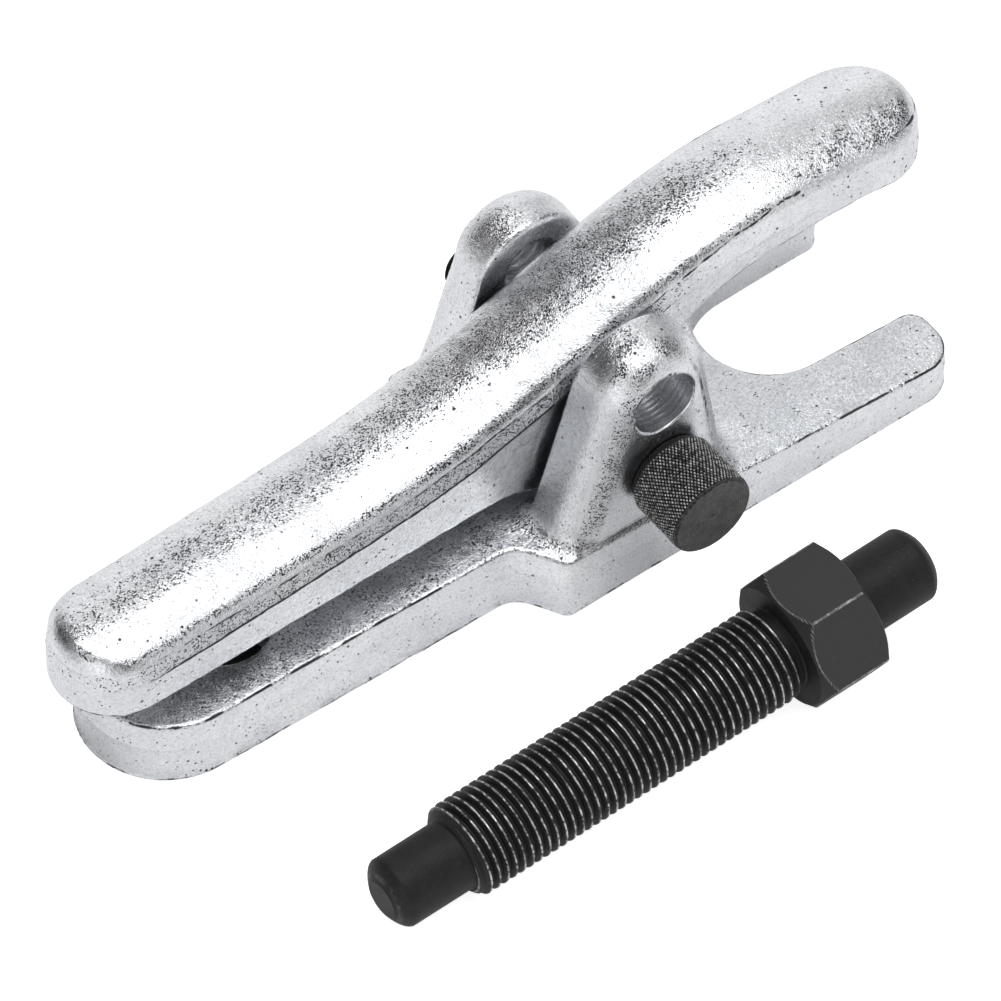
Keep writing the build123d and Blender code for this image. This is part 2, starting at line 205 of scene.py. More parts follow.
def forged_zinc(name, seed=0.0, tint=1.0):
    """Bright zinc plating over a forged, shot-blasted skin."""
    m, t, b, vec = new_material(name)
    off = t.add("ShaderNodeVectorMath", operation="ADD")
    off.inputs[1].default_value = (seed, seed * 0.7, seed * 0.3)
    t.link(vec, off.inputs[0])
    v = off.outputs[0]
    machined = t.attr("machined")
    band = t.attr("band")
    line = t.attr("line")
    raw = t.math("SUBTRACT", 1.0, machined)
    # tone: cool grey plate with paler and darker clouds
    cloud = t.noise(v, 60, 4, 0.65)
    tone = t.ramp(cloud, [(0.30, tuple(tint * k for k in (0.735, 0.752, 0.780))),
                          (0.52, tuple(tint * k for k in (0.815, 0.830, 0.852))),
                          (0.72, tuple(tint * k for k in (0.900, 0.906, 0.914)))])
    fine = t.noise(v, 1700, 3, 0.75)
    tone = t.mix(t.ramp(fine, [(0.36, 0.45), (0.55, 0.0)]), tone, (0.45, 0.46, 0.48))
    # small dark pits where scale was pressed in, in patches
    pit = t.voronoi(v, 520)
    pit_f = t.ramp(pit.outputs["Distance"], [(0.10, 1.0), (0.17, 0.0)])
    keep = t.ramp(t.noise(v, 95, 3, 0.6), [(0.53, 0.0), (0.60, 1.0)])
    pit2 = t.voronoi(v, 170)
    pit2_f = t.ramp(pit2.outputs["Distance"], [(0.040, 1.0), (0.075, 0.0)])
    pits_and_painted_shade = t.math("MAXIMUM", t.math("MULTIPLY", pit_f, keep), t.math("MULTIPLY", pit2_f, 0.9))
    # pepper: dark dots in the colour, partly the blasted skin's fine craters and mostly painted shade, thick where the
    # reflected direction falls in the listed shade lobes and along the band
    refl = t.coords.outputs["Reflection"]
    dens = None
    for az, el, r_in, r_out, level in PEPPER_SHADE_LOBES:
        f = t.math("MULTIPLY", lobe(t, refl, toward(az, el), r_in, r_out), level)
        dens = f if dens is None else t.math("MAXIMUM", dens, f)
    dens = t.math("MAXIMUM", dens, t.math("MULTIPLY", band, 0.50))
    clump = t.ramp(t.noise(v, 260, 4, 0.75), [(0.40, 0.25), (0.60, 1.45)])
    dens = t.math("MULTIPLY", t.math("ADD", dens, 0.010), clump)
    pep = t.voronoi(v, 2700)
    sepc = t.add("ShaderNodeSeparateColor")
    t.link(pep.outputs["Color"], sepc.inputs[0])
    chosen = t.math("LESS_THAN", sepc.outputs[0], dens)
    pep_f = t.math("MULTIPLY", chosen, t.ramp(pep.outputs["Distance"], [(0.42, 1.0), (0.56, 0.0)]))
    pits_and_painted_shade = t.math("MAXIMUM", pits_and_painted_shade, pep_f)
    pits_and_painted_shade = t.math("MULTIPLY", pits_and_painted_shade, raw)
    # painted shade: the line attribute becomes thin dark lines in the colour
    line_m = t.math("MULTIPLY", line, t.ramp(t.noise(v, 700, 3, 0.7), [(0.34, 0.62), (0.56, 1.25)]))
    line_m = t.math("MULTIPLY", t.ramp(line_m, [(0.28, 0.0), (0.56, 1.0)]), 0.92)
    pits_and_painted_shade = t.math("MAXIMUM", pits_and_painted_shade, line_m)
    # painted highlight: near-white, less metallic, smoother colour along each ear's rear ridge
    painted_ridge_highlight = t.attr("painted_ridge_highlight")
    tone = t.mix(painted_ridge_highlight, tone, (0.94, 0.945, 0.955))
    rings = t.math("MULTIPLY", t.attr("rings"), t.ramp(t.noise(v, 130, 2, 0.5), [(0.40, 0.12), (0.60, 0.48)]))
    tone = t.mix(rings, tone, (0.22, 0.23, 0.25))
    # real pits and painted shade (pepper and dark lines) darken the colour here
    tone = t.mix(pits_and_painted_shade, tone, (0.030, 0.030, 0.034))
    t.link(tone, b.inputs["Base Color"])
    t.link(t.mixf(painted_ridge_highlight, 1.0, 0.62), b.inputs["Metallic"])
    rough = t.mixf(t.noise(v, 150, 3, 0.6), 0.14, 0.28)
    rough = t.mixf(machined, rough, 0.27)
    rough = t.mixf(painted_ridge_highlight, rough, 0.34)
    rough = t.mixf(pits_and_painted_shade, rough, 0.75)
    t.link(rough, b.inputs["Roughness"])
    # relief: blasted grain in heavier and lighter patches, orange peel, pits
    g1 = t.noise(v, 4300, 1, 0.6)
    g2 = t.noise(v, 1700, 2, 0.55)
    g3 = t.noise(v, 300, 2, 0.5)
    patch = t.ramp(t.noise(v, 75, 3, 0.6), [(0.32, 0.45), (0.62, 1.0)])
    patch = t.math("ADD", patch, t.math("MULTIPLY", band, 0.8))
    h = t.math("ADD", t.math("MULTIPLY", g1, 1.45), t.math("MULTIPLY", g2, 0.85))
    h = t.math("MULTIPLY", h, patch)
    h = t.math("ADD", h, t.math("MULTIPLY", g3, 1.5))
    # here and there a grain stands proud and glints
    salt = t.math("MULTIPLY", t.math("GREATER_THAN", sepc.outputs[1], 0.965), t.ramp(pep.outputs["Distance"], [(0.10, 1.0), (0.50, 0.0)]))
    h = t.math("ADD", h, t.math("MULTIPLY", salt, 1.3))
    h = t.math("SUBTRACT", h, t.math("MULTIPLY", pits_and_painted_shade, 0.9))
    amt = t.math("SUBTRACT", 1.0, t.math("MULTIPLY", machined, 0.92))
    h = t.math("MULTIPLY", h, amt)
    t.link(t.bump(h, 0.000075), b.inputs["Normal"])
    return m


def black_oxide(name, fine=0.00002, turned=0.0, level=1.0, rub_scale=620):
    """Dull black oxide over turned steel, worn bright on its crests."""
    m, t, b, vec = new_material(name)
    wear = t.attr("wear")
    lo, hi = 0.010 * level, 0.017 * level
    base = t.ramp(t.noise(vec, 190, 4, 0.65), [(0.3, (lo, lo, lo)), (0.7, (hi, hi, hi * 0.99))])
    base = t.mix(t.attr("flat"), base, (0.042, 0.042, 0.042))
    speck = t.ramp(t.noise(vec, 2300, 2, 0.75), [(0.62, 0.0), (0.72, 1.0)])
    rub = t.ramp(t.noise(vec, rub_scale, 3, 0.75), [(0.42, 0.05), (0.60, 1.0)])
    w = t.math("MAXIMUM", t.math("MULTIPLY", wear, rub), t.attr("edge"))
    col = t.mix(t.math("MULTIPLY", speck, 0.16), base, (0.16, 0.16, 0.16))
    col = t.mix(w, col, (0.80, 0.80, 0.79))
    t.link(col, b.inputs["Base Color"])
    t.link(t.math("MULTIPLY", w, 0.9), b.inputs["Metallic"])
    b.inputs["Specular IOR Level"].default_value = 0.24
    rough = t.mixf(t.noise(vec, 260, 3, 0.6), 0.42, 0.58)
    rough = t.mixf(w, rough, 0.30)
    t.link(rough, b.inputs["Roughness"])
    h = t.math("ADD", t.noise(vec, 1900, 2, 0.6), t.math("MULTIPLY", t.noise(vec, 500, 2, 0.5), 1.2))
    if turned:
        ring = t.attr("ring")
        wv = t.math("SINE", t.math("MULTIPLY", ring, turned))
        h = t.math("ADD", h, t.math("MULTIPLY", wv, 1.1))
    t.link(t.bump(h, fine), b.inputs["Normal"])
    return m


# ---------------------------------------------------------------- mesh helpers
def make_object(name, verts, faces, material, attrs=None, angle=35.0):
    me = bpy.data.meshes.new(name)
    me.from_pydata([tuple(v) for v in verts], [], faces)
    me.update()
    for k, vals in (attrs or {}).items():
        a = me.attributes.new(k, "FLOAT", "POINT")
        a.data.foreach_set("value", np.asarray(vals, np.float32))
    me.polygons.foreach_set("use_smooth", [True] * len(me.polygons))
    me.set_sharp_from_angle(angle=math.radians(angle))
    o = bpy.data.objects.new(name, me)
    scene.collection.objects.link(o)
    me.materials.append(material)
    return o


def lathe(name, rows, n, origin, d, e1, e2, material, attr_rows=None, close_ends=True, wrap_rows=False, angle=35.0, th=None):
    """rows: list of (s, r) with r a number or an array over n angles, along axis d from origin, all mm."""
    if th is None:
        th = np.arange(n) * 2 * math.pi / n
    cs, sn = np.cos(th), np.sin(th)
    d, e1, e2, origin = (np.array(a, float) for a in (d, e1, e2, origin))
    V, A = [], {k: [] for k in (attr_rows or {})}
    for i, (s, r) in enumerate(rows):
        r = np.broadcast_to(np.asarray(r, float), (n,))
        p = origin + np.outer(np.full(n, s), d) + np.outer(r * cs, e1) + np.outer(r * sn, e2)
        V.append(p)
        for k in A:
            A[k].append(np.broadcast_to(np.asarray(attr_rows[k][i], float), (n,)))
    V = np.concatenate(V)
    F = []
    m = len(rows)
    for i in range(m if wrap_rows else m - 1):
        a, b = i * n, ((i + 1) % m) * n
        for j in range(n):
            k = (j + 1) % n
            F.append((a + j, a + k, b + k, b + j))
    A = {k: np.concatenate(v) for k, v in A.items()}
    if close_ends and not wrap_rows:
        first, last = len(V), len(V) + 1
        V = np.vstack([V, origin + rows[0][0] * d, origin + rows[-1][0] * d])
        for j in range(n):
            k = (j + 1) % n
            F.append((first, k, j))
            F.append((last, (m - 1) * n + j, (m - 1) * n + k))
        A = {k: np.concatenate([v, [v[0], v[-1]]]) for k, v in A.items()}
    return make_object(name, V * MM, F, material, A, angle)


def fine_copy(node, name, voxel, passes=2):
    """An even, dense mesh laid over a CAD node, for forging detail."""
    src = bpy.data.objects.new(name + "_src", nodes[node].data.copy())
    src.data.materials.clear()
    scene.collection.objects.link(src)
    rm = src.modifiers.new("r", "REMESH")
    rm.mode = "VOXEL"
    rm.voxel_size = voxel * MM
    rm.use_smooth_shade = True
    dg = bpy.context.evaluated_depsgraph_get()
    me = bpy.data.meshes.new_from_object(src.evaluated_get(dg))
    src.modifiers.clear()
    o = bpy.data.objects.new(name, me)
    scene.collection.objects.link(o)
    sw = o.modifiers.new("s", "SHRINKWRAP")
    sw.target = src
    sw.wrap_method = "NEAREST_SURFACEPOINT"
    sm = o.modifiers.new("m", "SMOOTH")
    sm.factor = 0.5
    sm.iterations = passes
    dg = bpy.context.evaluated_depsgraph_get()
    me2 = bpy.data.meshes.new_from_object(o.evaluated_get(dg))
    o.modifiers.clear()
    o.data = me2
    bpy.data.meshes.remove(me)
    bpy.data.objects.remove(src, do_unlink=True)
    me2.name = name
    return o


def read(me):
    n = len(me.vertices)
    co = np.zeros(n * 3, np.float32)
    me.vertices.foreach_get("co", co)
    no = np.zeros(n * 3, np.float32)
    me.vertex_normals.foreach_get("vector", no)
    return co.reshape(-1, 3).astype(float) / MM, no.reshape(-1, 3).astype(float)


def write(me, co):
    me.vertices.foreach_set("co", (co * MM).astype(np.float32).ravel())
    me.update()


def forge_skin(co, no, keep, seed, deep=0.13, dent=0.10):
    """Uneven forged surface, always at or under the drawn surface. keep is 1 on machined parts."""
    big = value_noise(co, 16.0, seed) * 0.6 + value_noise(co, 7.5, seed + 1) * 0.4
    mid = value_noise(co, 3.2, seed + 2)
    small = value_noise(co, 1.3, seed + 3)
    h = deep * (big - 0.75) + 0.030 * (mid - 0.8) + 0.016 * (small - 0.8)
    dents = value_noise(co, 4.5, seed + 4)
    h -= dent * smooth(dents, 0.62, 0.9)
    return co + no * (h * (1 - keep))[:, None]


# painted shade: reflected directions (azimuth, elevation, inner and outer radius in degrees, density) where dark
# pepper is painted into the plating's colour
PEPPER_SHADE_LOBES = ((96, 50, 14, 34, 0.60),       # far shoulder of the crown
          (-84, 42, 10, 26, 0.60),      # near shoulder
          (-172, 48, 14, 25, 0.75),
          (-8, 36, 13, 28, 0.68))
VOX = 0.42

zinc_fork = forged_zinc("zinc_plated_fork", 0.0)
zinc_lever = forged_zinc("zinc_plated_lever", 0.37)
# painted shade: the tail hole's thread gets a copy of the plating at about a third of its brightness
zinc_thread_shaded = forged_zinc("zinc_plated_thread_painted_shade", 0.11, 0.32)
zinc_ear_thread = forged_zinc("zinc_plated_ear_thread", 0.23, 0.9)
black_screw = black_oxide("black_oxide_screw", 0.00003)
black_pin = black_oxide("black_oxide_pin", 0.00002, level=0.6, rub_scale=1300)
black_face = black_oxide("black_oxide_turned_face", 0.00003, turned=2 * math.pi / 0.55, level=7.0)

# ================================================================ fork
fork = fine_copy("base_fork", "fork_forging", VOX)
co, no = read(fork.data)
rad_hole = np.hypot(co[:, 0] - SCREW_HOLE_X, co[:, 1])
high = co[:, 2] > (PIN_Z + PIN_Z_HIGH) / 2
pin_cz = np.where(high, PIN_Z_HIGH, PIN_Z)
rad_pin = np.hypot(co[:, 0], co[:, 2] - pin_cz)
hole_r = np.where(co[:, 1] < 0, PIN_HOLE_R, FAR_HOLE_R)
in_pin = (rad_pin < hole_r + 0.25) & (co[:, 2] > 17) & (np.abs(co[:, 1]) > 13)
in_hole = rad_hole < 10.9
keep = np.where(in_pin | in_hole, 1.0, 0.0)
flat_under = (no[:, 2] < -0.9) & (co[:, 2] < 0.3)
keep = np.maximum(keep, np.where(flat_under, 0.35, 0))
# die draft either side of the parting line, on the upright sides of the slab
side = smooth(1 - np.abs(no[:, 2]), 0.55, 0.9) * (co[:, 2] < BASE_T + 0.2) * (~in_hole) * (~in_pin)
top = np.where(co[:, 0] < SLOPE_X, BASE_T, BASE_T - (co[:, 0] - SLOPE_X) * (BASE_T - TIP_T) / (TIP_X - SLOPE_X))
line_z = top * 0.60
away = np.abs(co[:, 2] - line_z)
in_slot = (np.abs(co[:, 1]) < 15.2) & (co[:, 0] > 25)
draft = 0.10 + 0.035 * away
flash = 0.16 * np.exp(-(away / 0.55) ** 2)
side_xy = no * np.array([1, 1, 0])
co2 = forge_skin(co, no, keep, 11)
co2 = co2 - side_xy * ((draft - flash * (~in_slot)) * side)[:, None]
# the hole is opened to the thread's major radius: its thread is a piece of its own
push = in_hole & (rad_hole < 10.12)
direction = np.stack([(co[:, 0] - SCREW_HOLE_X), co[:, 1], np.zeros(len(co))], 1) / np.maximum(rad_hole, 1e-6)[:, None]
co2[push] += direction[push] * (10.12 - rad_hole[push])[:, None]
# drilled bores keep their size and show faint rings from the drill
pin_dir = np.stack([co[:, 0], np.zeros(len(co)), co[:, 2] - pin_cz], 1) / np.maximum(rad_pin, 1e-6)[:, None]
deep_in = in_pin & (np.abs(co[:, 1]) < 27.2) & (np.abs(co[:, 1]) > 15.2)
ringing = 0.08 + 0.08 * np.sin(co[:, 1] * 2 * math.pi / 1.15)
grow = np.maximum(0, hole_r - rad_pin) + np.where(co[:, 1] < 0, ringing, 0.0)
co2[deep_in] = (co + pin_dir * grow[:, None])[deep_in]
# the far ear is a little slimmer on its rear flank
flank = smooth(-no[:, 0], 0.25, 0.7) * (co[:, 1] > 13.5) * smooth(co[:, 2], 20, 27) * (1 - smooth(co[:, 2], 44, 52))
co2 = co2 + np.stack([0.85 * flank * (~in_pin), np.zeros(len(co)), np.zeros(len(co))], 1)
write(fork.data, co2)
# painted shade: a dark line and a band of dense pepper along the top rim, where the surface starts to turn down
rise = 1 - no[:, 2]
on_rim = (np.abs(co[:, 2] - top) < 1.6) & (np.abs(co[:, 1]) > 9) & (~in_hole)
line = smooth(rise, 0.04, 0.14) * (1 - smooth(rise, 0.35, 0.6)) * on_rim
line = line * (0.15 + 0.75 * smooth(value_noise(co, 4.0, 61), -0.3, 0.3))
foot = smooth(co[:, 0], -48, -40) * (1 - smooth(co[:, 0], 30, 36))
line = line * (1 - 0.6 * foot)
band = smooth(rise, 0.03, 0.12) * (1 - smooth(rise, 0.5, 0.8)) * on_rim * 0.8
# painted shade: a dark line along the lower edge, where the slab meets the floor
fringe = smooth(-no[:, 2], 0.10, 0.28) * (1 - smooth(-no[:, 2], 0.5, 0.75)) * (co[:, 2] < 2) * (~in_hole) * (~in_slot)
line = np.maximum(line, 0.5 * fringe * (0.3 + 0.7 * smooth(value_noise(co, 2.6, 63), -0.5, 0.3)))
rings = smooth(np.sin(co[:, 1] * 2 * math.pi / 1.15), 0.45, 0.9) * (co[:, 1] < 0)
line = np.where(deep_in, 0.0, line)
level_h = np.maximum(np.hypot(no[:, 0], no[:, 1]), 1e-6)
turn = np.abs(no[:, 0]) / level_h
on_ear = smooth(co[:, 2], BASE_T + 1, BASE_T + 5) * (np.abs(co[:, 1]) > 13) * (~in_pin)
# painted highlight: a near-white strip with noise down each ear's rear ridge, where the surface turns from side to
# rear
painted_ridge_highlight = smooth(np.abs(no[:, 0]), 0.54, 0.72) * smooth(np.abs(no[:, 1]), 0.54, 0.72) * on_ear * (1 - smooth(co[:, 2], 44, 54))
painted_ridge_highlight = painted_ridge_highlight * (0.45 + 0.55 * smooth(value_noise(co, 2.4, 71), -0.45, 0.35))
# a thin dark line is drawn along the front corner of each ear, where the surface turns
crease = smooth(no[:, 0] / level_h, 0.38, 0.47) * (1 - smooth(no[:, 0] / level_h, 0.55, 0.64)) * smooth(level_h, 0.6, 0.8) * on_ear
line = np.maximum(line, 0.46 * crease * (1 - smooth(co[:, 2], 50, 58)) * (0.90 + 0.15 * value_noise(co, 3.0, 67)))
painted_ridge_highlight = painted_ridge_highlight * (no[:, 0] < 0)
# painted shade: dense pepper beside the bright ridge
beside = smooth(turn, 0.12, 0.26) * (1 - smooth(turn, 0.56, 0.68)) * (no[:, 0] < 0) * smooth(level_h, 0.5, 0.7) * on_ear * (1 - smooth(co[:, 2], 50, 58))
band = np.maximum(band, 0.95 * beside)
for key, vals in (("rings", np.where(deep_in, rings, 0.0)), ("painted_ridge_highlight", 0.9 * painted_ridge_highlight)):
    a = fork.data.attributes.new(key, "FLOAT", "POINT")
    a.data.foreach_set("value", vals.astype(np.float32))
# painted shade: the fork's own wall inside the tail hole is darkened
line = np.where(in_hole & (rad_hole < 10.6), 0.45, line)
a = fork.data.attributes.new("line", "FLOAT", "POINT")
a.data.foreach_set("value", line.astype(np.float32))
a = fork.data.attributes.new("band", "FLOAT", "POINT")
a.data.foreach_set("value", band.astype(np.float32))
a = fork.data.attributes.new("machined", "FLOAT", "POINT")
a.data.foreach_set("value", np.where(in_pin | in_hole, 1.0, 0.0).astype(np.float32))
fork.data.materials.clear()
fork.data.materials.append(zinc_fork)
fork.data.polygons.foreach_set("use_smooth", [True] * len(fork.data.polygons))
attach(fork, "fork")
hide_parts("base_fork")

# thread inside the tail hole: M20 x 2
P = 2.0
n = 72
th = np.arange(n) * 2 * math.pi / n


def thread_radius(s, th, r_crest, sign, depth, crest=0.125, P=P):
    """Radius of a 60 degree thread: sign +1 for a screw, -1 for a nut."""
    ph = (s / P - th / (2 * math.pi)) % 1.0
    x = np.abs((ph + 0.5) % 1.0 - 0.5) * P
    drop = np.clip((x - crest) * 1.732, 0, depth)
    return r_crest - sign * drop


rows = []
for s in np.arange(1.5, 15.31, 0.125):
    end = min(s - 1.5, 15.3 - s)
    r = thread_radius(s, th, 9.0, -1, 1.02, 0.22)
    r = np.maximum(r, 10.05 - 1.05 * min(end / 1.0, 1.0))
    rows.append((s, r))
rows.append((15.45, 10.30))
rows.append((15.40, 10.60))
rows.append((1.40, 10.60))
rows.append((1.35, 10.30))
tail_thread = lathe("tail_hole_thread", rows, n, (SCREW_HOLE_X, 0, 0), (0, 0, 1), (0, 1, 0), (-1, 0, 0), zinc_thread_shaded,
                    {"machined": [1.0] * len(rows)}, wrap_rows=True)
bm = bmesh.new()
bm.from_mesh(tail_thread.data)
bmesh.ops.recalc_face_normals(bm, faces=bm.faces)
bm.to_mesh(tail_thread.data)
bm.free()
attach(tail_thread, "fork")

# threads of the far ear's two holes: M12 x 1.75
P12 = 1.75
for zc, label in ((PIN_Z, "lower"), (PIN_Z_HIGH, "upper")):
    rows = []
    for s in np.arange(15.0, 27.01, 0.125):
        end = min(s - 15.0, 27.0 - s)
        r = thread_radius(s + P12 / 2, th, 5.12, -1, 0.88, 0.2, P12)
        r = np.maximum(r, 6.04 - 0.92 * min(end / 0.9, 1.0))
        rows.append((s, r))
    rows += [(27.15, 6.12), (27.10, 6.45), (14.92, 6.45), (14.87, 6.12)]
    o = lathe("far_ear_thread_" + label, rows, n, (0, 0, zc), (0, 1, 0), (0, 0, 1), (1, 0, 0), zinc_ear_thread,
              {"machined": [1.0] * len(rows)}, wrap_rows=True)
    bm = bmesh.new()
    bm.from_mesh(o.data)
    bmesh.ops.recalc_face_normals(bm, faces=bm.faces)
    bm.to_mesh(o.data)
    bm.free()
    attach(o, "fork")

# ================================================================ lever
lever = fine_copy("lever_arm", "lever_forging", VOX)
co, no = read(lever.data)
rad_pin = np.hypot(co[:, 0], co[:, 2] - PIN_Z)
rad_sock = np.hypot(co[:, 0] - SCREW_HOLE_X, co[:, 1])
in_pin = rad_pin < PIN_HOLE_R + 0.25
in_sock = (rad_sock < 8.8) & (co[:, 2] < 33)
keep = np.where(in_pin | in_sock, 1.0, 0.0)
cheek = (np.abs(no[:, 1]) > 0.98) & (rad_pin < 20)
keep = np.maximum(keep, np.where(cheek, 0.4, 0.0))
co2 = forge_skin(co, no, keep, 41, 0.17, 0.05)
# hammered facets along the crown
facet = value_noise(co * np.array([0.35, 1.0, 1.0]), 6.0, 77)
up = smooth(no[:, 2], 0.1, 0.6) * (co[:, 2] > 35)
co2 = co2 + no * ((facet - 1.0) * 0.09 * up * (1 - 0.7 * smooth(co[:, 0], 25, 50)))[:, None]
# the die's parting edge: a slight crease between the rounded crown and the flat sides
cx_ = np.array([-124, -110, -96, -80, -60, -47, -33, -18, -3, 13, 25, 36, 50, 64, 74, 82.0])
cz_ = np.array([39.4, 39.9, 40.5, 41.4, 42.6, 43.9, 46.5, 50.9, 56.0, 61.3, 63.7, 64.8, 64.2, 62.7, 61.1, 59.4])
below = np.interp(co[:, 0], cx_, cz_) - co[:, 2]
wob = 0.25 * value_noise(co, 9.0, 55)
edge_h = 8.7 + wob
lean = np.where(below < edge_h, 0.15 * (edge_h - below) * smooth(below, 4.0, 6.6), 0.0)
upright = smooth(1 - np.abs(no[:, 2]), 0.25, 0.6) * (co[:, 2] > 30)
flat_dir = no * np.array([1, 1, 0])
co2 = co2 - flat_dir * (lean * upright)[:, None]
lip = 0.10 * np.exp(-((below - edge_h) / 0.45) ** 2)
co2 = co2 + flat_dir * (np.minimum(lip, 0.08) * upright)[:, None]
# the band along the crown's shoulder, pressed in a little, with a dark line at either edge; its dense pepper and the
# lines are painted shade for the dark reflections there
line_gaps = 0.3 + 0.7 * smooth(value_noise(co, 2.2, 91), -0.5, 0.2)
nose_part = smooth(co[:, 0], 5, 60)
upper_h = edge_h - 3.9 - 2.6 * nose_part + 0.3 * value_noise(co, 5.0, 92)
tail_fade = smooth(co[:, 0], -119, -100)
nose_fade = 1 - smooth(co[:, 0], 0, 26)
shoulder = smooth(1 - np.abs(no[:, 2]), 0.12, 0.30) * (co[:, 2] > 30)
band = np.where((below > upper_h) & (below < edge_h), 1.0, 0.0) * upright * nose_fade * (0.25 + 0.75 * tail_fade)
line = np.exp(-((below - edge_h - 0.05) / 0.30) ** 2) * nose_fade * upright
line = line + 0.75 * line_gaps * np.exp(-((below - upper_h) / 0.26) ** 2) * shoulder
line = line * tail_fade
# painted shade: a dark fringe along the lower edge
fringe = smooth(-no[:, 2], 0.10, 0.28) * (1 - smooth(-no[:, 2], 0.5, 0.75)) * (np.abs(no[:, 1]) > 0.3) * (~in_pin) * (~in_sock)
line = np.clip(np.maximum(line, 0.52 * line_gaps * fringe), 0, 1)
co2 = co2 - flat_dir * (0.06 * band)[:, None]
write(lever.data, co2)
a = lever.data.attributes.new("band", "FLOAT", "POINT")
a.data.foreach_set("value", band.astype(np.float32))
a = lever.data.attributes.new("line", "FLOAT", "POINT")
a.data.foreach_set("value", line.astype(np.float32))
a = lever.data.attributes.new("machined", "FLOAT", "POINT")
a.data.foreach_set("value", np.where(in_pin | in_sock, 1.0, 0.0).astype(np.float32))
lever.data.materials.clear()
lever.data.materials.append(zinc_lever)
lever.data.polygons.foreach_set("use_smooth", [True] * len(lever.data.polygons))
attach(lever, "lever")
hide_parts("lever_arm")

# ================================================================ forcing screw
SCREW_R, NOSE_R, NOSE_L, THREAD_L = 9.95, 7.5, 17.0, 77.0
NECK_R, NECK_L, HEX_AF, HEX_L, SPIGOT_R, SPIGOT_L = 8.4, 1.6, 27.0, 16.0, 7.85, 17.8
corner = HEX_AF / math.sqrt(3)
s1 = NOSE_L
s2 = s1 + THREAD_L
s3 = s2 + NECK_L
s4 = s3 + HEX_L
s5 = s4 + SPIGOT_L
tilt = math.atan2(HEX_AF / 2 - SCREW_R, s3 - (s1 + 1.6))
z_nose = SCREW_R * math.cos(tilt) - (s1 + 1.6) * math.sin(tilt)
yaw = math.radians(0.1)
d = np.array([math.cos(yaw) * math.cos(tilt), math.sin(yaw) * math.cos(tilt), math.sin(tilt)])
e1 = np.array([-math.sin(yaw), math.cos(yaw), 0.0])
e2 = np.cross(d, e1)
CORNER_W = 0.60             # half width of a worn corner, degrees
th = [math.radians(k * 60.0 + c) for k in range(6) for c in (0.0, CORNER_W * 2.0, 60 - CORNER_W * 2.0)]
th += [math.radians(k * 60.0 + c) for k in range(6) for c in (CORNER_W, 60 - CORNER_W)]
th += [math.radians(k * 60.0 + c) for k in range(6) for c in np.linspace(4.5, 55.5, 15)]
th = np.array(sorted(th))
N = len(th)
rows, wear, flat, rim = [], [], [], []


def row(s, r, w=0.0):
    rows.append((s, r))
    wear.append(w)
    flat.append(0.0)
    rim.append(0.0)


row(0.0, 1.2)
row(0.0, 3.0)
END_L = 2.9
for s in np.linspace(0.0, END_L, 12):
    row(s, 4.1 + 3.38 * (1 - (1 - s / END_L) ** 1.7), 0.06 if 0.3 < s < 0.8 else 0.0)
for s in np.arange(4.0, s1 - 0.4, 1.0):
    row(s, 7.48)
row(s1 - 0.35, 7.48)
row(s1 - 0.1, 7.60)
row(s1, 8.00)
step = P / 20
for s in np.arange(s1 + 0.02, s2, step):
    r = thread_radius(s, th, 9.93, 1, 1.20)
    cone = 8.1 + (s - s1) * (1.85 / 1.6)
    cone2 = 9.95 - max(0.0, s - (s2 - 1.3)) * 1.1
    worn = smooth(r, 9.93 - 0.16, 9.93 - 0.02) * (0.85 if s > s1 + 1.4 else 0.3)
    row(s, np.minimum(np.minimum(r, cone), cone2), worn)
row(s2, 8.42)
row(s3 - 0.35, 8.40)
row(s3 - 0.05, 8.62)
row(s3, 9.0)
# a corner of the hexagon lies at every angle that is a multiple of 60 degrees
from_corner = np.abs((th + math.pi / 6) % (math.pi / 3) - math.pi / 6)
hexr = HEX_AF / 2 / np.cos(math.pi / 6 - from_corner)
hexr = np.minimum(hexr, corner - 0.09)
edge = np.where(from_corner < math.radians(CORNER_W * 1.2), 1.0, 0.0)
row(s3, 11.0)
row(s3, 12.6)


def hexrow(s):
    c1 = corner - 2.6 + (s - s3) * (2.6 / 2.4)
    c2 = corner - max(0.0, s - (s4 - 1.6)) * (2.4 / 1.6)
    lim = min(c1, c2)
    r = np.minimum(hexr, lim)
    on_edge = np.exp(-((hexr - lim) / 0.10) ** 2)
    front = 1.0 if s < s3 + 3 else 0.35
    row(s, r, np.maximum(0.50 * edge * (hexr < lim + 0.02), 0.45 * front * on_edge * (lim < corner - 0.1)))
    rim[-1] = np.maximum(0.13 * edge * (hexr < lim + 0.02), 0.22 * on_edge * (lim < corner - 0.1) * (s < s3 + 3))
    flat[-1] = np.where(hexr < lim - 0.03, 1.0, 0.2)


for s in np.arange(s3, s3 + 2.5, 0.05):
    hexrow(s)
for s in np.arange(s3 + 2.6, s4 - 2.0, 1.0):
    hexrow(s)
for s in np.arange(s4 - 2.0, s4 - 0.05, 0.1):
    hexrow(s)
hexrow(s4 - 0.06)
row(s4, 12.0, 0.3)
row(s4, 10.0)
row(s4, 8.3)
row(s4 + 0.25, 7.93)
row(s4 + 0.6, 7.83)
for s in np.arange(s4 + 1.5, s5 - 3.0, 1.2):
    row(s, 7.83)
for s in np.linspace(0.0, END_L - 0.2, 12)[::-1]:
    row(s5 - s, 5.2 + 2.62 * (1 - (1 - s / (END_L - 0.2)) ** 1.8))
row(s5, 3.0)
row(s5, 1.0)
screw = lathe("forcing_screw", rows, N, (-97.4, -67.4, z_nose), d, e1, e2, black_screw, {"wear": wear, "flat": flat, "edge": rim}, angle=24.0, th=th)
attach(screw, "screw")
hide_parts("force_screw")

# ================================================================ pivot pin
y_seat = -28.45
y_head = y_seat - 15.0
HEAD_R = 9.25
rows, wear, ring = [], [], []


